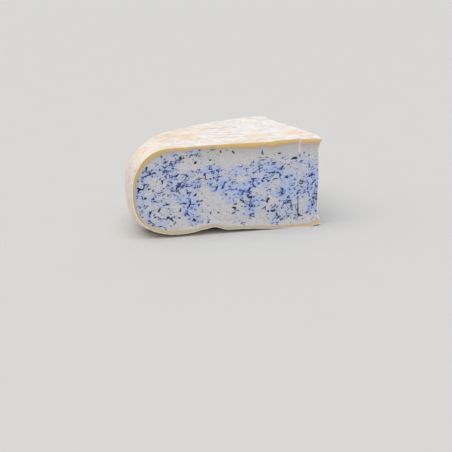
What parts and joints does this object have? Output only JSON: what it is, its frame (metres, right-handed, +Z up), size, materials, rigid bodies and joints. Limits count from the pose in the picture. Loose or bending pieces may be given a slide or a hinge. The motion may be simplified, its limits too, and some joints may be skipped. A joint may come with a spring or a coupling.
{
  "type": "blue cheese wedge",
  "caption": "Quarter of a flat wheel of blue cheese, with a rounded pale rind on the heel, top and base and two upright cut faces of veined white paste.",
  "frame": {"origin": "bottom centre of the wedge's box, on the surface that it rests on", "axes": "+Z up through the wedge's thickness; the front cut faces -Y, the second cut faces +X, and the heel curves round the -X and +Y sides"},
  "size_m": [0.175, 0.175, 0.0812],
  "materials": {
    "cheese": "semi-soft white paste with blue veins, an ochre band under the rind, and a dry pinkish white bloomy rind with peach patches"
  },
  "bodies": {
    "root": {"cheese_wedge": "cheese"}
  },
  "joints": []
}
